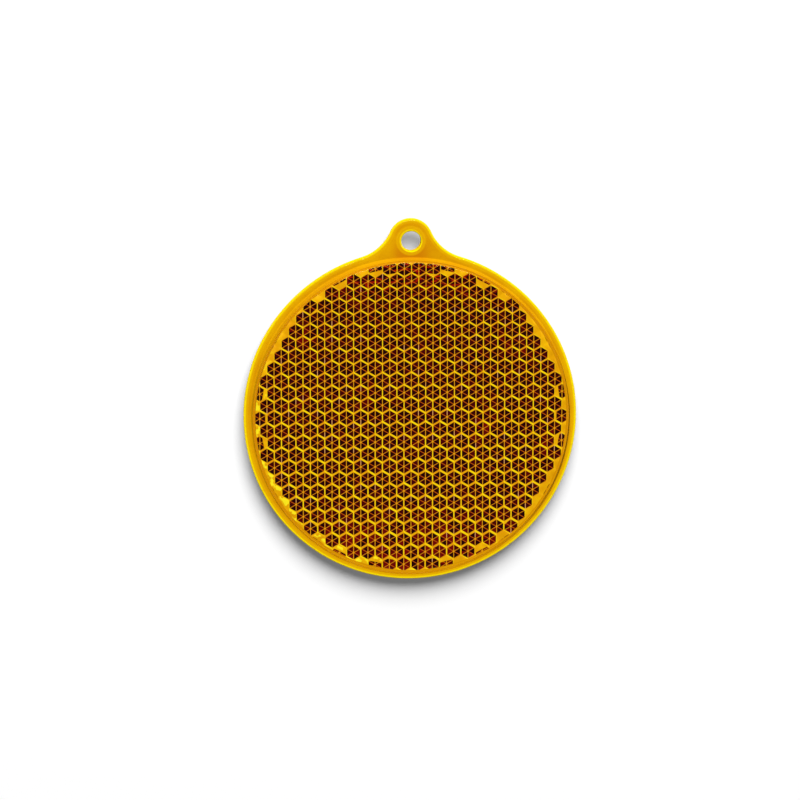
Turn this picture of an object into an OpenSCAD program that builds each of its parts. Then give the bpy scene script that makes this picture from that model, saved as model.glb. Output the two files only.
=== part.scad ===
// Round safety reflector with a hanging eye: two clear amber mouldings, welded together round a
// thin flange, with a field of cube-corner prisms inside each face. Millimetres, lying flat:
// +Z is the front face, +Y points to the eye, the origin is the middle of the rear face.

/* [Disc] */
// Diameter over the welded flange
disc_d = 58; // [50:0.5:60]
// Thickness over both faces
thick = 7; // [6.6:0.1:8]
// Width of the flange outside the raised body
flange_w = 1.4; // [1.3:0.1:2]
// Thickness of both flanges together
flange_t = 2; // [1.8:0.1:2.6]
// Radius of the rounded shoulder of the body
shoulder_r = 0.8; // [0.4:0.1:1]
// Radius of the hollow corner where the body meets the flange
foot_r = 0.25; // [0.1:0.05:0.3]
// Thickness of the body wall outside the prisms
wall_t = 0.6; // [0.5:0.1:1]

/* [Flange] */
// Width of the bead that follows the outline
bead_w = 0.75; // [0.6:0.05:0.9]
// Depth of the sunken web inside the bead
web_depth = 0.3; // [0.1:0.05:0.4]
// Rounding of the outer edge
edge_r = 0.4; // [0.2:0.05:0.5]
// Chamfer beside the weld line
seam_c = 0.12; // [0.05:0.01:0.2]

/* [Eye] */
// Diameter of the hole for the cord
hole_d = 3.4; // [2.5:0.1:4]
// Chamfer at both ends of the hole
hole_c = 0.2; // [0.1:0.05:0.3]
// Distance from the edge of the disc to the middle of the hole
hole_out = 1.6; // [1.2:0.1:2.5]
// Outer radius of the eye
eye_r = 3.85; // [3.6:0.05:4.5]
// Outer radius of the collar round the hole
collar_r = 2.5; // [2.3:0.05:2.7]
// Radius of the hollow curves that join the eye to the disc
blend_r = 8; // [6:0.5:12]

/* [Prisms] */
// Width of one hexagonal cell across its flats
cell_w = 2.5; // [2.3:0.1:2.8]
// Clearance between a prism tip and the weld plane
tip_gap = 0.25; // [0.15:0.05:0.35]

/* [Weld] */
// Width of the tongue under the front flange
tongue_w = 0.5; // [0.3:0.05:0.5]
// Height of the tongue
tongue_h = 0.3; // [0.2:0.05:0.35]

/* [Hidden] */
$fn = 96;
amber = [0.92, 0.66, 0.02];
amber_deep = [0.84, 0.52, 0.02];
half_t = thick / 2;
half_flange = flange_t / 2;
rim_r = disc_d / 2;
body_r = rim_r - flange_w;
field_r = body_r - wall_t;
eye_y = rim_r + hole_out;
cell_r = cell_w / sqrt(3);          // corner radius of a cell
row_y = 1.5 * cell_r;               // distance between two rows of cells
mid_h = cell_r / sqrt(2);           // depth of a cell's three middle corners
tip_h = 2 * mid_h;                  // depth of a cell's tip
plate_z = tip_gap + tip_h;          // inner side of the face plate, from the weld plane
bite = 0.1;                         // overlap that makes two solids one
cut_gap = 0.05;                     // prisms end this far from the body wall
dip = 0.03;                         // the hollow curves cross the round ones by this much
slack = 0.05;                       // clearance of the tongue in its groove
tongue_in = 0.2;                    // the tongue lies this far inside the middle of the flange
blend_y = (pow(rim_r + blend_r, 2) - pow(eye_r + blend_r, 2) + pow(eye_y, 2)) / (2 * eye_y);
blend_x = sqrt(pow(rim_r + blend_r, 2) - pow(blend_y, 2));
tongue_r = body_r + flange_w / 2 - tongue_in;

// Cells lie on a triangular grid, i to the right and j up, with a shared side at the middle.
span = ceil(rim_r / row_y) + 2;
side = 4 * span + 1;
function cell_at(i, j) = [cell_w * (i + j / 2 + 0.5), row_y * j];
function in_field(c) = norm(cell_at(c[0], c[1])) < field_r + cell_r;
function index(i, j) = (i + 2 * span) * side + j + 2 * span;

// Every grid place owns three points: its tip, its top corner and its bottom corner.
function own_points(i, j, tip, mid, low) =
    let (c = cell_at(i, j))
    [[c[0], c[1], tip], [c[0], c[1] + cell_r, mid], [c[0], c[1] - cell_r, low]];
function sheet(tip, mid, low) =
    [for (i = [-2 * span : 2 * span], j = [-2 * span : 2 * span])
        each own_points(i, j, tip, mid, low)];

// The six corners of a cell from upper right round to right, as point numbers.
function corners(c) = let (i = c[0], j = c[1])
    [3 * index(i, j + 1) + 2, 3 * index(i, j) + 1, 3 * index(i - 1, j + 1) + 2,
     3 * index(i, j - 1) + 1, 3 * index(i, j) + 2, 3 * index(i + 1, j - 1) + 1];
// The neighbour across each side, in the same order.
function neighbours(c) = let (i = c[0], j = c[1])
    [[i, j + 1], [i - 1, j + 1], [i - 1, j], [i, j - 1], [i + 1, j - 1], [i + 1, j]];

// One closed body of cube-corner prisms, tips down, with a flat back inside the plate.
module prism_block() {
    below = sheet(tip_gap, tip_gap + mid_h, plate_z);
    above = sheet(plate_z + bite, plate_z + bite, plate_z + bite);
    n = len(below);
    cells = [for (i = [-2 * span + 1 : 2 * span - 1], j = [-span : span])
        if (in_field([i, j])) [i, j]];
    facets = [for (c = cells) let (t = 3 * index(c[0], c[1]), v = corners(c))
        each [[t, v[5], v[0], v[1]], [t, v[3], v[4], v[5]], [t, v[1], v[2], v[3]]]];
    lids = [for (f = facets) [n + f[3], n + f[2], n + f[1], n + f[0]]];
    walls = [for (c = cells) let (v = corners(c), m = neighbours(c))
        each [for (k = [0 : 5]) if (!in_field(m[k]))
            [n + v[k], n + v[(k + 1) % 6], v[(k + 1) % 6], v[k]]]];
    polyhedron(concat(below, above), concat(facets, lids, walls));
}

module prisms() {
    intersection() {
        prism_block();
        cylinder(r = field_r - cut_gap, h = half_t);
    }
}

// Section of an outward edge at radius r, to be turned round its centre.
module edge_section(r) {
    polygon([[0, 0], [r - seam_c, 0], [r, seam_c], [r, half_flange - edge_r],
             [r - edge_r, half_flange - edge_r], [r - edge_r, half_flange], [0, half_flange]]);
    translate([r - edge_r, half_flange - edge_r]) circle(edge_r);
}

// Section of the air inside a hollow curve at radius r.
module hollow_section(r) {
    difference() {
        polygon([[0, -1], [r + seam_c + 1, -1], [r, seam_c], [r, half_flange - edge_r],
                 [r + edge_r, half_flange - edge_r], [r + edge_r, half_flange + 1],
                 [0, half_flange + 1]]);
        translate([r + edge_r, half_flange - edge_r]) circle(edge_r);
    }
}

// The kite between the centres of the disc, the eye and the two hollow curves.
module kite(h) {
    linear_extrude(h) polygon([[0, 0], [blend_x, blend_y], [0, eye_y], [-blend_x, blend_y]]);
}

module at_blends() {
    for (s = [-1, 1]) translate([s * blend_x, blend_y, 0]) children();
}

module flange() {
    rotate_extrude() edge_section(rim_r);
    translate([0, eye_y, 0]) rotate_extrude() edge_section(eye_r);
    difference() {
        kite(half_flange);
        at_blends() rotate_extrude() hollow_section(blend_r + dip);
    }
}

// The sunken web between the bead, the collar and the body.
module web_sink() {
    translate([0, 0, half_flange - web_depth]) difference() {
        union() {
            cylinder(r = rim_r - bead_w, h = 1);
            translate([0, eye_y, 0]) cylinder(r = eye_r - bead_w, h = 1);
            difference() {
                kite(1);
                at_blends() translate([0, 0, -1]) cylinder(r = blend_r + bead_w + dip, h = 3);
            }
        }
        translate([0, 0, -1]) cylinder(r = body_r, h = 3);
        translate([0, eye_y, -1]) cylinder(r = collar_r, h = 3);
    }
}

module body_section() {
    square([body_r, half_t - shoulder_r]);
    square([body_r - shoulder_r, half_t]);
    translate([body_r - shoulder_r, half_t - shoulder_r]) circle(shoulder_r);
}

// Section of the hollow corner at the foot of the body.
module foot_section() {
    translate([body_r, half_flange - web_depth]) difference() {
        translate([-bite, -bite]) square(foot_r + bite);
        translate([foot_r, foot_r]) circle(foot_r);
    }
}

module hole() {
    translate([0, eye_y, -1]) cylinder(r = hole_d / 2, h = half_t + 2);
    translate([0, eye_y, half_flange - hole_c])
        cylinder(r1 = hole_d / 2, r2 = hole_d / 2 + 2 * hole_c, h = 2 * hole_c);
}

// One moulding with its weld plane at z = 0 and its face up.
module moulding() {
    difference() {
        union() {
            difference() {
                flange();
                web_sink();
            }
            rotate_extrude() body_section();
            rotate_extrude() foot_section();
        }
        translate([0, 0, -1]) cylinder(r = field_r, h = plate_z + 1);
        hole();
    }
    prisms();
}

module ring(r, w, z, h) {
    translate([0, 0, z]) difference() {
        cylinder(r = r + w / 2, h = h);
        translate([0, 0, -1]) cylinder(r = r - w / 2, h = h + 2);
    }
}

module front_shell() {
    color(amber) translate([0, 0, half_t]) {
        moulding();
        ring(tongue_r, tongue_w, -tongue_h, tongue_h + bite);
    }
}

module rear_shell() {
    color(amber_deep) translate([0, 0, half_t]) mirror([0, 0, 1]) difference() {
        moulding();
        ring(tongue_r, tongue_w + 2 * slack, -1, 1 + tongue_h + slack);
    }
}

front_shell();
rear_shell();
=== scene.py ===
from math import atan2, cos, degrees, pi, radians, sin, sqrt

import bmesh
import bpy
from mathutils import Matrix, Vector

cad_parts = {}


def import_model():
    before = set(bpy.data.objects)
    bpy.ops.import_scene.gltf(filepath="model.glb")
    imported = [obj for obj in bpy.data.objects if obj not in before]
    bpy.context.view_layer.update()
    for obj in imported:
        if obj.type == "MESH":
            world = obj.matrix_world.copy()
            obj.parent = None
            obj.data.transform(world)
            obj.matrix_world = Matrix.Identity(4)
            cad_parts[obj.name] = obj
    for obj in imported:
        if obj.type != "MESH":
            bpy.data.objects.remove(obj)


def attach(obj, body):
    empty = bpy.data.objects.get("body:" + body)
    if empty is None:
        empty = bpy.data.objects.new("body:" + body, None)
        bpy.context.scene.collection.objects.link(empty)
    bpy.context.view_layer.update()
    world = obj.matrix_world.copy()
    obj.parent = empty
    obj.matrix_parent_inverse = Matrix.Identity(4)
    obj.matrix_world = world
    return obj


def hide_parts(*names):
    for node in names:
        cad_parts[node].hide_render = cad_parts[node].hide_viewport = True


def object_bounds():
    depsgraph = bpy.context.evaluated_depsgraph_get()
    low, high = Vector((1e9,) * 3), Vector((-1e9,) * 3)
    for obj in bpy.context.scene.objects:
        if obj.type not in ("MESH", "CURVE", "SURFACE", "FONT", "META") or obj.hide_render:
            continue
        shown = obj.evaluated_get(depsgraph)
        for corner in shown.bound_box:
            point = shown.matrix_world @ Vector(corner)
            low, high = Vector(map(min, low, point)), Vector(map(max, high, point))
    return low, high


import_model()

# A round reflector of two amber mouldings. Lengths are millimetres in the part's own frame, with the
# weld plane at height 0 while a moulding is made, and a mesh is scaled to metres when it is done.
MM = 0.001
SHARP_ANGLE = 38
JOIN_CELLS, JOIN_SKIN = 0.001, 0.0005
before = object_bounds()

# Disc and flange, with the outer sizes as the CAD box has them
HALF_T = round(before[1].z / MM, 2) / 2
RIM_R = round(-before[0].y / MM, 2)
FLANGE_W = 1.4
WALL_T = 0.6
BODY_R = RIM_R - FLANGE_W
FIELD_R = BODY_R - WALL_T
HALF_FLANGE = 1.0
WEB_DEPTH = 0.3
BEAD_W = 0.75
EDGE_R = 0.4
SEAM_C = 0.12
SHOULDER_R = 0.8
FOOT_R = 0.25
# The weld faces stand this far off the weld plane, so that the two don't lie in one place.
AIR = 0.01
# Inner corner of the bead and corner of the web: (past the bead's width, below its top or above the web)
BEAD_CORNER = ((-0.14, 0.01), (-0.06, 0.03), (-0.01, 0.1))
WEB_CORNER = ((0.01, 0.06), (0.06, 0.0))

# Eye
HOLE_OUT = 1.6
EYE_Y = RIM_R + HOLE_OUT
EYE_R = 3.85
HOLE_R = 1.7
HOLE_C = 0.2
COLLAR_R = 2.5
# Corners of the collar: (past its radius, above the web or below the top)
COLLAR_FOOT = ((0.05, 0.0), (0.0, 0.06))
COLLAR_CORNER = ((-0.02, 0.1), (-0.1, 0.01))
# Rounded lip of the hole: (outwards, down), in chamfer widths
HOLE_LIP = ((1.2, 0.0), (0.4, 0.3), (0.1, 0.8), (0.0, 1.3))
# Hollow curves between the disc and the eye, their centres and the angles of the tangent points
BLEND_R = 8.0
BLEND_Y = ((RIM_R + BLEND_R) ** 2 - (EYE_R + BLEND_R) ** 2 + EYE_Y**2) / (2 * EYE_Y)
BLEND_X = sqrt((RIM_R + BLEND_R) ** 2 - BLEND_Y**2)
DISC_A = atan2(BLEND_Y, BLEND_X)
EYE_A = atan2(BLEND_Y - EYE_Y, BLEND_X)

# Prisms
CELL_W = 2.5
CELL_R = CELL_W / sqrt(3)
ROW_Y = 1.5 * CELL_R
MID_H = CELL_R / sqrt(2)
TIP_GAP = 0.25
PLATE_Z = TIP_GAP + 2 * MID_H
# The skin doesn't bend light as a real plate does, which makes prisms look shallow, so they are shallow.
RELIEF = 0.2
# Depth below the face at which the corners of the cells are seen
SEEN_DEPTH = 1.6
WALL_SIDES = 96

# Steps round the outline and round each circle
DISC_STEPS, BLEND_STEPS, EYE_STEPS = 132, 12, 28
BODY_STEPS, COLLAR_STEPS = 128, 48

# Material slots of a shell, and the loops at which its skin changes from one to the next
SKIN, CORE, PRISM = 0, 1, 2
EDGE_TURN, WALL_TURN, COLLAR_TURN = 3, 7, 4

# Camera, fitted to the lattice of cells and the outline in the photograph of 800 pixels
VIEW_AZ, VIEW_EL, VIEW_ROLL = 204.06, 79.58, 0.12
VIEW_DIST, VIEW_FOCUS_PX, PHOTO_PX = 653.1, 3740.0, 800
VIEW_TARGET = (-1.55, 2.15, 0.0)

# Studio, in metres and watts
FLOOR_SIZE = 3.0
KEY_PLACE, KEY_SIZE, KEY_POWER = (0.12, 1.76, 1.85), 2.0, 91
SOFT_LIGHT = 0.16


# Outlines and sections


def trace_outline(bm, inset, z):
    """Closed loop of edges inset from the outline: one spin each for the disc, a hollow curve, the eye
    and the other hollow curve."""
    start, r = pi - DISC_A, RIM_R - inset
    first = bm.verts.new((r * cos(start), r * sin(start), z))
    turns = (
        ((0, 0), pi + 2 * DISC_A, DISC_STEPS),
        ((BLEND_X, BLEND_Y), EYE_A - DISC_A, BLEND_STEPS),
        ((0, EYE_Y), pi - 2 * EYE_A, EYE_STEPS),
        ((-BLEND_X, BLEND_Y), EYE_A - DISC_A, BLEND_STEPS),
    )
    last = first
    for (cx, cy), angle, steps in turns:
        done = bmesh.ops.spin(
            bm,
            geom=[last],
            cent=(cx, cy, z),
            axis=(0, 0, 1),
            angle=angle,
            steps=steps,
            use_duplicate=False,
        )
        last = next(g for g in done["geom_last"] if isinstance(g, bmesh.types.BMVert))
    bmesh.ops.weld_verts(bm, targetmap={last: first})
    edges, vert, edge = [], first, first.link_edges[0]
    while edge not in edges:
        edges.append(edge)
        vert = edge.other_vert(vert)
        edge = next(e for e in vert.link_edges if e is not edge)
    return edges


def ring(bm, r, z, segments, centre=(0, 0)):
    """Closed loop of edges on a circle."""
    place = Matrix.Translation((centre[0], centre[1], z))
    made = bmesh.ops.create_circle(bm, segments=segments, radius=r, matrix=place)
    return list(dict.fromkeys(e for v in made["verts"] for e in v.link_edges))


def quarter(r, steps=5):
    """(in from the side, up) along a rounded edge, from the side to the top."""
    turns = [pi / 2 * k / steps for k in range(steps + 1)]
    return [(r - r * cos(a), r * sin(a)) for a in turns]


def flange_profile():
    """(inset, height) from the weld plane up the rounded edge, over the bead and down to the web."""
    top, web = HALF_FLANGE, HALF_FLANGE - WEB_DEPTH
    seam = [(SEAM_C, 0.0), (0.3 * SEAM_C, 0.7 * SEAM_C), (0.0, 1.6 * SEAM_C)]
    edge = [(inset, top - EDGE_R + up) for inset, up in quarter(EDGE_R)]
    bead = [(BEAD_W + past, top - drop) for past, drop in BEAD_CORNER]
    corner = [(BEAD_W + past, web + up) for past, up in WEB_CORNER]
    return seam + edge + bead + corner


def body_profile():
    """(radius, height) from the hollow foot up the wall and over the shoulder."""
    web, top = HALF_FLANGE - WEB_DEPTH, HALF_T - AIR
    turns = [pi / 2 * k / 4 for k in range(5)]
    foot = [(BODY_R + FOOT_R * (1 - sin(a)), web + FOOT_R * (1 - cos(a))) for a in turns]
    shoulder = [(BODY_R - past, top - SHOULDER_R + up) for past, up in quarter(SHOULDER_R, 7)]
    return foot + shoulder


def collar_profile():
    """(radius, height) round the hole, from the web up, over the collar and down the bore."""
    web, top = HALF_FLANGE - WEB_DEPTH, HALF_FLANGE
    foot = [(COLLAR_R + past, web + up) for past, up in COLLAR_FOOT]
    corner = [(COLLAR_R + past, top - drop) for past, drop in COLLAR_CORNER]
    lip = [(HOLE_R + HOLE_C * past, top - HOLE_C * drop) for past, drop in HOLE_LIP]
    return foot + corner + lip + [(HOLE_R, 0.0)]


# Skins between the loops


def bridge(bm, loops, slot):
    """Skins a row of loops, each to the next. No two neighbours lie at one height, because there the
    skin can cross over."""
    for a, b in zip(loops, loops[1:]):
        for f in bmesh.ops.bridge_loops(bm, edges=a + b)["faces"]:
            f.material_index = slot
            f.smooth = True


def bridge_in_two(bm, loops, turn, first_slot, last_slot):
    """Skins a row of loops in one material up to loop number turn, and in another from there."""
    bridge(bm, loops[: turn + 1], first_slot)
    bridge(bm, loops[turn:], last_slot)


def fill(bm, edges, slot, up):
    """Fills the plane between an outer loop and the loops inside it."""
    done = bmesh.ops.triangle_fill(bm, use_beauty=True, edges=edges, normal=(0, 0, up))
    for g in done["geom"]:
        if isinstance(g, bmesh.types.BMFace):
            g.material_index = slot


# Prism field


def with_parts(faces):
    """Faces with their edges and corners."""
    edges = dict.fromkeys(e for f in faces for e in f.edges)
    verts = dict.fromkeys(v for f in faces for v in f.verts)
    return [*faces, *edges, *verts]


def cell_centres():
    reach = int(RIM_R / ROW_Y) + 2
    for j in range(-reach, reach + 1):
        for i in range(-2 * reach, 2 * reach + 1):
            x, y = CELL_W * (i + j / 2 + 0.5), ROW_Y * j
            if x * x + y * y < (FIELD_R + CELL_R) ** 2:
                yield x, y


def prism_cell(bm):
    """One cube corner: a six-sided fan with its tip down and every second corner half way down."""
    made = bmesh.ops.create_circle(bm, cap_ends=True, cap_tris=True, segments=6, radius=CELL_R)
    for v in made["verts"]:
        turn = round(degrees(atan2(v.co.y, v.co.x)) - 90) % 120
        middle = v.co.length < 0.1 * CELL_R
        depth = 2 * MID_H if middle else MID_H if turn == 0 else 0
        v.co.z = PLATE_Z - RELIEF * depth
    return made["verts"]


def prism_field(bm):
    """Cube corners side by side over the whole field."""
    first = prism_cell(bm)
    cell = with_parts(list(dict.fromkeys(f for v in first for f in v.link_faces)))
    for x, y in cell_centres():
        copy = bmesh.ops.duplicate(bm, geom=cell)["geom"]
        corners = [g for g in copy if isinstance(g, bmesh.types.BMVert)]
        bmesh.ops.translate(bm, verts=corners, vec=(x, y, 0))
    bmesh.ops.delete(bm, geom=first, context="VERTS")
    bmesh.ops.remove_doubles(bm, verts=bm.verts[:], dist=JOIN_CELLS)


def cut_round(bm):
    """Trims the field to the round wall, one straight cut at a time."""
    for k in range(WALL_SIDES):
        angle = 2 * pi * k / WALL_SIDES
        out = Vector((cos(angle), sin(angle), 0))
        near = [f for f in bm.faces if f.calc_center_median().dot(out) > FIELD_R - 2 * CELL_R]
        bmesh.ops.bisect_plane(
            bm,
            geom=with_parts(near),
            dist=JOIN_SKIN,
            plane_co=out * FIELD_R,
            plane_no=out,
            clear_outer=True,
        )
    for f in bm.faces:
        f.material_index = PRISM


def drop_wall(bm):
    """Draws the field's border down to the weld plane, and returns the wall's lower loop."""
    border = [e for e in bm.edges if e.is_boundary]
    made = bmesh.ops.extrude_edge_only(bm, edges=border)["geom"]
    for g in made:
        if isinstance(g, bmesh.types.BMVert):
            g.co.z = 0
        elif isinstance(g, bmesh.types.BMFace):
            g.material_index = CORE
    edges = [g for g in made if isinstance(g, bmesh.types.BMEdge)]
    return [e for e in edges if all(v.co.z == 0 for v in e.verts)]


# Shells


def skin_moulding(bm, wall, flip):
    """Closes a moulding round its prisms and their wall. Its front edge lets the light of the weld face
    through, and the rear edge backs it."""
    rim = [trace_outline(bm, inset, z) for inset, z in flange_profile()]
    body = [ring(bm, r, z, BODY_STEPS) for r, z in body_profile()]
    collar = [ring(bm, r, z, COLLAR_STEPS, (0, EYE_Y)) for r, z in collar_profile()]
    bridge_in_two(bm, rim, EDGE_TURN, CORE if flip else SKIN, SKIN)
    bridge_in_two(bm, body, WALL_TURN, CORE, SKIN)
    bridge_in_two(bm, collar, COLLAR_TURN, SKIN, CORE)
    fill(bm, rim[-1] + body[0] + collar[0], SKIN, 1)
    fill(bm, body[-1], SKIN, 1)
    fill(bm, rim[0] + wall + collar[-1], CORE, -1)
    bmesh.ops.remove_doubles(bm, verts=bm.verts[:], dist=JOIN_SKIN)


def shell_mesh(name, flip):
    """One moulding as a closed mesh, the rear one turned over."""
    bm = bmesh.new()
    prism_field(bm)
    cut_round(bm)
    skin_moulding(bm, drop_wall(bm), flip)
    if flip:
        bmesh.ops.scale(bm, vec=(1, 1, -1), verts=bm.verts[:])
    lift = HALF_T - AIR if flip else HALF_T + AIR
    bmesh.ops.translate(bm, vec=(0, 0, lift), verts=bm.verts[:])
    bmesh.ops.scale(bm, vec=(MM, MM, MM), verts=bm.verts[:])
    bmesh.ops.recalc_face_normals(bm, faces=bm.faces[:])
    mesh = bpy.data.meshes.new(name)
    bm.to_mesh(mesh)
    bm.free()
    mesh.set_sharp_from_angle(angle=radians(SHARP_ANGLE))
    return mesh


# Material maths


class Nodes:
    """A material's nodes, with short names for the maths that it is written in."""

    def __init__(self, name):
        self.mat = bpy.data.materials.new(name)
        self.mat.use_nodes = True
        self.tree = self.mat.node_tree
        self.tree.nodes.clear()
        self.out = self.tree.nodes.new("ShaderNodeOutputMaterial")

    def new(self, kind, **values):
        node = self.tree.nodes.new(kind)
        for key, value in values.items():
            setattr(node, key, value)
        return node

    def put(self, value, socket):
        """Links a socket, or sets a plain value."""
        if isinstance(value, bpy.types.NodeSocket):
            self.tree.links.new(value, socket)
        else:
            socket.default_value = value

    def finish(self, shader):
        self.put(shader.outputs[0], self.out.inputs["Surface"])
        return self.mat

    def maths(self, op, *values):
        node = self.new("ShaderNodeMath", operation=op)
        for value, socket in zip(values, node.inputs):
            self.put(value, socket)
        return node.outputs[0]

    def add(self, a, b):
        return self.maths("ADD", a, b)

    def sub(self, a, b):
        return self.maths("SUBTRACT", a, b)

    def times(self, a, *others):
        for b in others:
            a = self.maths("MULTIPLY", a, b)
        return a

    def most(self, a, b):
        return self.maths("MAXIMUM", a, b)

    def size(self, a):
        return self.maths("ABSOLUTE", a)

    def rest(self, a):
        """What a leaves of 1."""
        return self.maths("SUBTRACT", 1.0, a)

    def wrap(self, a, width):
        """a, moved by whole widths to within half a width of 0."""
        return self.maths("WRAP", a, width / 2, -width / 2)

    def choose(self, pick, a, b):
        """a where pick is 0, b where it is 1."""
        return self.add(self.times(pick, b), self.times(self.rest(pick), a))

    def step(self, value, low, high):
        """0 at low, 1 at high, smooth between and level beyond."""
        node = self.new("ShaderNodeMapRange", interpolation_type="SMOOTHSTEP")
        self.put(value, node.inputs["Value"])
        self.put(low, node.inputs["From Min"])
        self.put(high, node.inputs["From Max"])
        return node.outputs["Result"]

    def mix(self, factor, a, b):
        """Colour a where the factor is 0, colour b where it is 1."""
        node = self.new("ShaderNodeMix", data_type="RGBA")
        self.put(factor, node.inputs["Factor"])
        self.put(a, node.inputs[6])
        self.put(b, node.inputs[7])
        return node.outputs[2]

    def position(self):
        """Object coordinates in millimetres."""
        coords = self.new("ShaderNodeTexCoord")
        apart = self.new("ShaderNodeSeparateXYZ")
        self.put(coords.outputs["Object"], apart.inputs[0])
        return [self.times(apart.outputs[k], 1 / MM) for k in range(3)]

    def level(self):
        """How flat a face lies: 0 for an upright one, 1 for a flat one."""
        face = self.new("ShaderNodeNewGeometry")
        apart = self.new("ShaderNodeSeparateXYZ")
        self.put(face.outputs["True Normal"], apart.inputs[0])
        return self.size(apart.outputs[2])

    def point(self, x, y, z=0.0):
        node = self.new("ShaderNodeCombineXYZ")
        for value, socket in zip((x, y, z), node.inputs):
            self.put(value, socket)
        return node.outputs[0]

    def noise(self, vector, scale, detail=2.0):
        node = self.new("ShaderNodeTexNoise")
        self.put(vector, node.inputs["Vector"])
        self.put(scale, node.inputs["Scale"])
        self.put(detail, node.inputs["Detail"])
        return node.outputs["Fac"]

    def chance(self, vector, dimensions):
        """A fixed random value for each whole-numbered point."""
        node = self.new("ShaderNodeTexWhiteNoise", noise_dimensions=dimensions)
        self.put(vector, node.inputs["Vector"])
        return node.outputs["Value"]

    def distance(self, x, y, cx=0.0, cy=0.0):
        dx, dy = self.sub(x, cx), self.sub(y, cy)
        return self.maths("SQRT", self.add(self.times(dx, dx), self.times(dy, dy)))


def srgb(r, g, b):
    """A colour as the photograph shows it, 0 to 255, as linear light."""

    def linear(v):
        v = v / 255
        return v / 12.92 if v <= 0.04045 else ((v + 0.055) / 1.055) ** 2.4

    return (linear(r), linear(g), linear(b), 1.0)


# Clear skin


def skin_tint(n, body, level):
    """What the skin takes out of the light: little in the flange, more in the thick body, and most where
    a look goes in at its rounded shoulder."""
    steep = n.times(body, n.rest(n.step(level, 0.6, 0.98)))
    tint = n.mix(body, (1.0, 0.985, 0.93, 1.0), (1.0, 0.93, 0.6, 1.0))
    return n.mix(steep, tint, (1.0, 0.86, 0.35, 1.0))


def skin_shine(n, body, radius, level, bump):
    """Fresnel shine, which stays low on rounded edges, as light also leaves through them."""
    fresnel = n.new("ShaderNodeFresnel")
    fresnel.inputs["IOR"].default_value = 1.49
    n.put(bump, fresnel.inputs["Normal"])
    plate_r = BODY_R - SHOULDER_R
    shoulder = n.times(body, n.step(radius, plate_r - 0.2, plate_r))
    flat = n.times(n.step(level, 0.994, 0.999), n.rest(shoulder), 0.3)
    return n.maths("MINIMUM", fresnel.outputs[0], n.most(flat, 0.008))


def skin_bump(n, x, y, z):
    """The faint waves of a moulded face."""
    bump = n.new("ShaderNodeBump")
    bump.inputs["Strength"].default_value = 0.05
    bump.inputs["Distance"].default_value = 0.2 * MM
    n.put(n.noise(n.point(x, y, z), 0.35, 1.0), bump.inputs["Height"])
    return bump.outputs[0]


def amber_skin():
    """Clear amber plastic seen from outside."""
    n = Nodes("amber_skin")
    x, y, z = n.position()
    radius, level = n.distance(x, y), n.level()
    body = n.rest(n.step(radius, BODY_R + 0.1, BODY_R + 0.5))
    bump = skin_bump(n, x, y, z)
    clear = n.new("ShaderNodeBsdfTransparent")
    n.put(skin_tint(n, body, level), clear.inputs["Color"])
    gloss = n.new("ShaderNodeBsdfGlossy")
    gloss.inputs["Roughness"].default_value = 0.1
    gloss.inputs["Color"].default_value = (1.0, 0.86, 0.3, 1.0)
    n.put(bump, gloss.inputs["Normal"])
    both = n.new("ShaderNodeMixShader")
    n.put(skin_shine(n, body, radius, level, bump), both.inputs[0])
    n.put(clear.outputs[0], both.inputs[1])
    n.put(gloss.outputs[0], both.inputs[2])
    return n.finish(both)


# Amber core


def outline_depth(n, x, y):
    """How far a point lies inside the outline, true near the edge."""
    disc = n.sub(RIM_R, n.distance(x, y))
    eye = n.sub(EYE_R, n.distance(x, y, 0.0, EYE_Y))
    solid = n.most(disc, eye)
    side = n.size(x)
    hollow = n.sub(n.distance(side, y, BLEND_X, BLEND_Y), BLEND_R)
    # The hollow curves rule only inside the kite between the four centres.
    low = n.maths("GREATER_THAN", n.times(y, BLEND_X), n.times(side, BLEND_Y))
    eye_side = n.times(side, BLEND_Y - EYE_Y)
    high = n.maths("LESS_THAN", n.times(n.sub(y, EYE_Y), BLEND_X), eye_side)
    return n.choose(n.times(low, high), solid, n.most(hollow, solid))


def amber_tone_and_painted_light(n, x, y, z):
    """Random tone in the amber, with painted shade that makes it deeper at the root of the eye and along
    the foot of the wall, and painted light that makes the solid bead and collar brighter than the thin
    web."""
    cloud = n.noise(n.point(x, y, z), 0.22, 3.0)
    colour = n.mix(n.step(cloud, 0.35, 0.7), srgb(218, 152, 4), srgb(228, 168, 4))
    # Painted shade at the root of the eye, where it joins the disc.
    root = n.rest(n.step(n.distance(x, y, 0.0, EYE_Y - 2.2), 1.6, 4.2))
    colour = n.mix(root, colour, srgb(209, 130, 5))
    # Painted shade along the foot of the body's wall, where it meets the web.
    wall = n.rest(n.step(n.distance(x, y), BODY_R - 0.2, BODY_R + 0.3))
    colour = n.mix(wall, colour, srgb(206, 143, 5))
    # Painted light: the raised bead and the collar are brighter than the web.
    bead = n.rest(n.step(outline_depth(n, x, y), 0.62, 0.95))
    hole = n.distance(x, y, 0.0, EYE_Y)
    collar = n.rest(n.step(hole, COLLAR_R - 0.1, COLLAR_R + 0.25))
    return n.mix(n.times(n.most(bead, collar), 0.8), colour, srgb(230, 174, 4))


def edge_glow(n, x, y):
    """Where light gathers in the outer edge and the hole's lip. It shows from above, and the upright
    faces keep some of it."""
    edge = n.rest(n.step(outline_depth(n, x, y), 0.2, 0.55))
    hole = n.distance(x, y, 0.0, EYE_Y)
    lip = n.rest(n.step(hole, HOLE_R + 0.1, HOLE_R + 0.35))
    shown = n.add(0.3, n.times(n.step(n.level(), 0.1, 0.5), 0.7))
    return n.times(n.most(edge, lip), shown)


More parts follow.
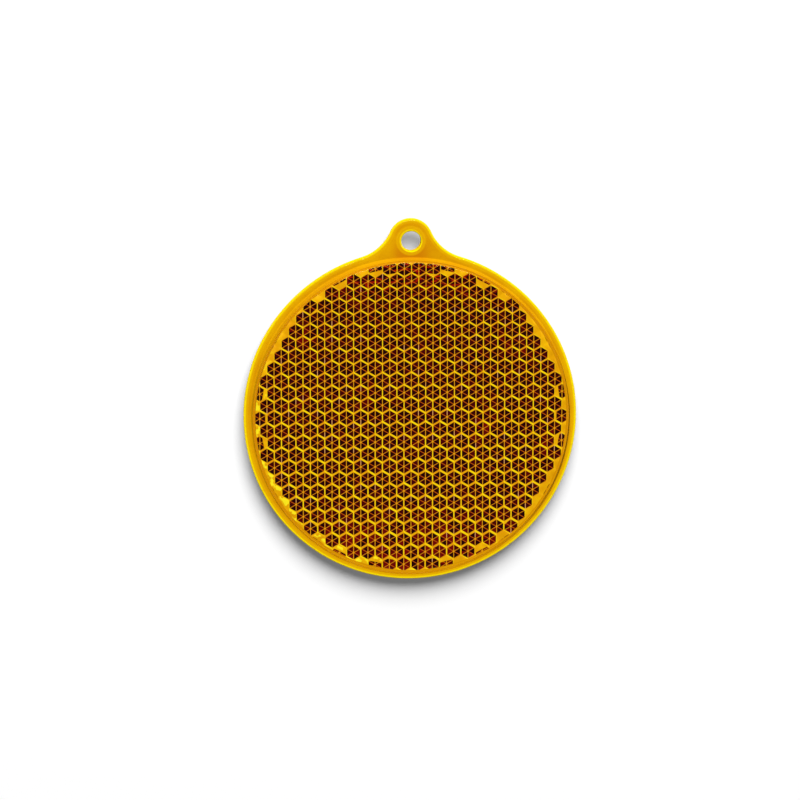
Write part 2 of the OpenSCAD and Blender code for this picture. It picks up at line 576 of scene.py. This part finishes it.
def amber_core():
    """The plastic below the skin of the flange, and the upright walls."""
    n = Nodes("amber_core")
    x, y, z = n.position()
    # The amber's random tone, with painted shade and painted light.
    colour = amber_tone_and_painted_light(n, x, y, z)
    colour = n.mix(edge_glow(n, x, y), colour, srgb(250, 224, 8))
    grain = n.noise(n.point(x, y, z), 2.5, 2.0)
    streaks = n.times(n.step(grain, 0.52, 0.8), 0.35)
    colour = n.mix(streaks, colour, srgb(204, 126, 5))
    surface = n.new("ShaderNodeBsdfPrincipled")
    n.put(colour, surface.inputs["Base Color"])
    surface.inputs["Roughness"].default_value = 0.5
    surface.inputs["Specular IOR Level"].default_value = 0.0
    return n.finish(surface)


# Prism facets


class CellPoint:
    """A point of the prism field and its place in its own cell. Points are carried along the photograph's
    view to the plane of the cell corners, so that a cell looks whole from there."""

    def __init__(self, n, lean, plane):
        x, y, z = n.position()
        rise = n.sub(plane, z)
        self.x = n.add(x, n.times(rise, lean[0]))
        self.y = n.add(y, n.times(rise, lean[1]))
        self.lx, self.ly = self.place(n)
        # How far it lies from each of the three lines through the cell's middle
        self.off_upright = n.size(self.lx)
        self.off_falling = n.size(self.along(n, 60))
        self.off_rising = n.size(self.along(n, 120))
        self.cloud = n.step(n.noise(n.point(self.x, self.y), 0.5, 2.0), 0.35, 0.75)

    def place(self, n):
        """Place from the cell's middle. Two grids of rectangles hold all the middles."""
        ax = n.wrap(n.sub(self.x, CELL_W / 2), CELL_W)
        ay = n.wrap(self.y, 2 * ROW_Y)
        bx = n.wrap(self.x, CELL_W)
        by = n.wrap(n.sub(self.y, ROW_Y), 2 * ROW_Y)
        pick = n.maths("LESS_THAN", n.distance(bx, by), n.distance(ax, ay))
        return n.choose(pick, ax, bx), n.choose(pick, ay, by)

    def along(self, n, angle):
        """Place along a direction in degrees."""
        a = radians(angle)
        return n.add(n.times(self.lx, cos(a)), n.times(self.ly, sin(a)))

    def number(self, n, part=0.0):
        """Whole numbers that are the cell's own."""
        cx, cy = n.sub(self.x, self.lx), n.sub(self.y, self.ly)
        across, up = (n.maths("ROUND", n.times(c, 4.0)) for c in (cx, cy))
        return n.point(across, up, part)


def dark_facets(n, cell):
    """Facets that send the view back to the dark camera, some of them reddish: in patches, towards the
    lower edge, and in streaks near the top."""
    sixth = n.maths("ROUND", n.times(n.maths("ARCTAN2", cell.ly, cell.lx), 3 / pi))
    chance = n.chance(cell.number(n, sixth), "3D")
    colour = n.mix(n.times(n.step(chance, 0.5, 1.0), 0.55), srgb(36, 0, 8), srgb(84, 2, 8))
    patch = n.step(n.noise(n.point(cell.x, cell.y), 0.12, 3.0), 0.56, 0.75)
    low = n.step(cell.y, -13.0, -24.0)
    red = n.times(n.most(patch, low), n.step(chance, 0.15, 0.8), 0.6)
    colour = n.mix(red, colour, srgb(132, 8, 6))
    streaks = n.noise(n.point(cell.x, n.times(cell.y, 3.0)), 0.6, 2.0)
    flare = n.times(n.step(cell.y, 19.0, 25.0), n.step(streaks, 0.55, 0.62), 0.8)
    return n.mix(flare, colour, srgb(176, 22, 6))


def spokes(n, cell, colour):
    """Painted light along the three edges of the cube corner and their mirror images, which cross in the
    middle: the upright pair is wide and gold, and some of its halves carry a pale painted highlight."""
    falling = n.rest(n.step(cell.off_falling, 0.03, 0.08))
    rising = n.rest(n.step(cell.off_rising, 0.03, 0.08))
    upright = n.rest(n.step(cell.off_upright, 0.03, 0.085))
    colour = n.mix(falling, colour, srgb(200, 92, 12))
    colour = n.mix(rising, colour, srgb(216, 136, 20))
    colour = n.mix(upright, colour, srgb(228, 160, 24))
    chance = n.chance(cell.number(n), "2D")
    half = n.times(cell.ly, n.maths("SIGN", n.sub(chance, 0.86)))
    # Painted highlight on some halves of the upright pair.
    pale_highlight = n.times(upright, n.step(chance, 0.72, 0.8), n.step(half, 0.25, 0.5), 0.6)
    colour = n.mix(pale_highlight, colour, srgb(225, 175, 160))
    # Painted light where the spokes meet in the cell's middle.
    middle = n.rest(n.step(n.distance(cell.lx, cell.ly), 0.08, 0.24))
    return n.mix(middle, colour, srgb(232, 165, 22))


def strip_masks(n, cell):
    """The strips between cells, all of them and the upright ones. They widen towards the lower edge."""
    half = CELL_W / 2
    widen = n.times(cell.y, -0.0014)
    side = n.add(cell.off_upright, n.times(widen, 0.6))
    upright = n.step(side, half - 0.12, half - 0.06)
    slant = n.add(n.most(cell.off_falling, cell.off_rising), widen)
    slanting = n.step(slant, half - 0.19, half - 0.11)
    return n.most(upright, slanting), upright


def strip_colour(n, cell, upright):
    """Calm amber, and painted light, bright yellow, in the upright strips and in those that fall to the
    right.
    """
    calm = n.mix(cell.cloud, srgb(226, 152, 4), srgb(240, 184, 4))
    # Painted light: these strips shine brighter.
    brightly_lit = n.mix(cell.cloud, srgb(246, 200, 4), srgb(255, 228, 8))
    falls = n.step(n.sub(cell.off_falling, cell.off_rising), -0.1, 0.1)
    return n.mix(n.most(falls, upright), calm, brightly_lit)


def cut_reach(n, cell):
    """How far out a point or its mirror image lies, whichever is more: a cell that the round wall cuts
    sends light back only where both lie inside the wall."""
    mx = n.sub(cell.x, n.times(cell.lx, 2.0))
    my = n.sub(cell.y, n.times(cell.ly, 2.0))
    return n.most(n.distance(cell.x, cell.y), n.distance(mx, my))


def cut_colour(n, cell, reach):
    """Plain amber where nothing comes back, with bright sparks at the lower left."""
    plain = n.mix(cell.cloud, srgb(227, 164, 6), srgb(244, 192, 10))
    down_left = n.sub(n.times(cell.x, -0.8), n.times(cell.y, 0.6))
    spot = n.step(n.noise(n.point(cell.x, cell.y), 0.8, 1.0), 0.5, 0.56)
    outer = n.step(reach, FIELD_R + 0.35, FIELD_R + 0.7)
    spark = n.times(spot, n.step(down_left, 8.0, 24.0), outer)
    return n.mix(spark, plain, srgb(255, 242, 40))


def prism_facets(name, lean, plane):
    """The prisms as they look through the clear plate, with the reflections and light that they send back
    painted into their colour.
    """
    n = Nodes(name)
    cell = CellPoint(n, lean, plane)
    strip, upright = strip_masks(n, cell)
    colour = spokes(n, cell, dark_facets(n, cell))
    colour = n.mix(strip, colour, strip_colour(n, cell, upright))
    reach = cut_reach(n, cell)
    cut = n.step(reach, FIELD_R + 0.16, FIELD_R + 0.26)
    colour = n.mix(cut, colour, cut_colour(n, cell, reach))
    surface = n.new("ShaderNodeBsdfPrincipled")
    n.put(colour, surface.inputs["Base Color"])
    n.put(n.add(0.3, n.times(strip, 0.25)), surface.inputs["Roughness"])
    surface.inputs["Specular IOR Level"].default_value = 0.1
    return n.finish(surface)


# Pieces


def make_shell(name, node, flip, materials):
    piece = bpy.data.objects.new(name, shell_mesh(name, flip))
    bpy.context.scene.collection.objects.link(piece)
    for mat in materials:
        piece.data.materials.append(mat)
    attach(piece, "root")
    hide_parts(node)
    # Light goes through clear plastic, so only the rear shell casts a shadow, and neither tints the floor.
    piece.visible_shadow = flip
    piece.visible_diffuse = False


def make_reflector():
    toward = view_direction()
    across, up = toward.x / toward.z, toward.y / toward.z
    skin, core = amber_skin(), amber_core()
    front = prism_facets("prism_facets_front", (across, up), 2 * HALF_T - SEEN_DEPTH)
    rear = prism_facets("prism_facets_rear", (-across, -up), SEEN_DEPTH)
    make_shell("front_moulding", "front_shell", False, (skin, core, front))
    make_shell("rear_moulding", "rear_shell", True, (skin, core, rear))


# Studio


def view_direction():
    """From the object to the camera."""
    a, e = radians(VIEW_AZ), radians(VIEW_EL)
    return Vector((sin(a) * cos(e), -cos(a) * cos(e), sin(e)))


def camera():
    back = view_direction()
    right = (-back).cross(Vector((0, 1, 0))).normalized()
    up = right.cross(-back)
    roll = radians(VIEW_ROLL)
    right, up = right * cos(roll) + up * sin(roll), up * cos(roll) - right * sin(roll)
    data = bpy.data.cameras.new("camera")
    data.sensor_width = 36
    data.lens = VIEW_FOCUS_PX * data.sensor_width / PHOTO_PX
    data.clip_start, data.clip_end = 0.01, 20
    ob = bpy.data.objects.new("camera", data)
    place = Matrix((right, up, back)).transposed().to_4x4()
    place.translation = (Vector(VIEW_TARGET) + back * VIEW_DIST) * MM
    ob.matrix_world = place
    bpy.context.scene.collection.objects.link(ob)
    bpy.context.scene.camera = ob


def floor():
    bm = bmesh.new()
    bmesh.ops.create_grid(bm, x_segments=1, y_segments=1, size=FLOOR_SIZE)
    mesh = bpy.data.meshes.new("floor")
    bm.to_mesh(mesh)
    bm.free()
    mat = bpy.data.materials.new("floor_white")
    mat.use_nodes = True
    paint = mat.node_tree.nodes["Principled BSDF"]
    paint.inputs["Base Color"].default_value = (1.0, 1.0, 1.0, 1.0)
    paint.inputs["Roughness"].default_value = 0.9
    paint.inputs["Specular IOR Level"].default_value = 0.0
    mesh.materials.append(mat)
    ob = bpy.data.objects.new("floor", mesh)
    bpy.context.scene.collection.objects.link(ob)


def key_lamp():
    """One large round lamp above the eye, a little to the right."""
    data = bpy.data.lights.new("key", "AREA")
    data.shape = "DISK"
    data.size = KEY_SIZE
    data.energy = KEY_POWER
    ob = bpy.data.objects.new("key", data)
    ob.location = KEY_PLACE
    ob.rotation_euler = (-Vector(KEY_PLACE)).to_track_quat("-Z", "Y").to_euler()
    bpy.context.scene.collection.objects.link(ob)


def seen_studio(tree):
    """What is seen or mirrored of the studio: white round about, and dim overhead, where the camera is."""
    coords = tree.nodes.new("ShaderNodeTexCoord")
    apart = tree.nodes.new("ShaderNodeSeparateXYZ")
    fade = tree.nodes.new("ShaderNodeMapRange")
    seen = tree.nodes.new("ShaderNodeBackground")
    for name, value in (("From Min", 0.5), ("From Max", 0.9), ("To Min", 1.0), ("To Max", 0.0)):
        fade.inputs[name].default_value = value
    seen.inputs["Color"].default_value = (1, 1, 1, 1)
    tree.links.new(coords.outputs["Generated"], apart.inputs[0])
    tree.links.new(apart.outputs["Z"], fade.inputs["Value"])
    tree.links.new(fade.outputs["Result"], seen.inputs["Strength"])
    return seen


def seen_rays(tree):
    """1 for the rays that see or mirror the studio, 0 for those that gather light."""
    path = tree.nodes.new("ShaderNodeLightPath")
    total = path.outputs["Is Camera Ray"]
    for kind in ("Is Glossy Ray", "Is Transmission Ray"):
        either = tree.nodes.new("ShaderNodeMath")
        either.operation = "MAXIMUM"
        tree.links.new(total, either.inputs[0])
        tree.links.new(path.outputs[kind], either.inputs[1])
        total = either.outputs[0]
    return total


def world():
    made = bpy.data.worlds.new("studio")
    bpy.context.scene.world = made
    made.use_nodes = True
    tree = made.node_tree
    tree.nodes.clear()
    soft = tree.nodes.new("ShaderNodeBackground")
    soft.inputs["Color"].default_value = (1, 1, 1, 1)
    soft.inputs["Strength"].default_value = SOFT_LIGHT
    both = tree.nodes.new("ShaderNodeMixShader")
    out = tree.nodes.new("ShaderNodeOutputWorld")
    tree.links.new(seen_rays(tree), both.inputs[0])
    tree.links.new(soft.outputs[0], both.inputs[1])
    tree.links.new(seen_studio(tree).outputs[0], both.inputs[2])
    tree.links.new(both.outputs[0], out.inputs["Surface"])


def studio():
    floor()
    key_lamp()
    world()
    camera()
    bpy.context.scene.view_settings.view_transform = "Standard"


make_reflector()
studio()
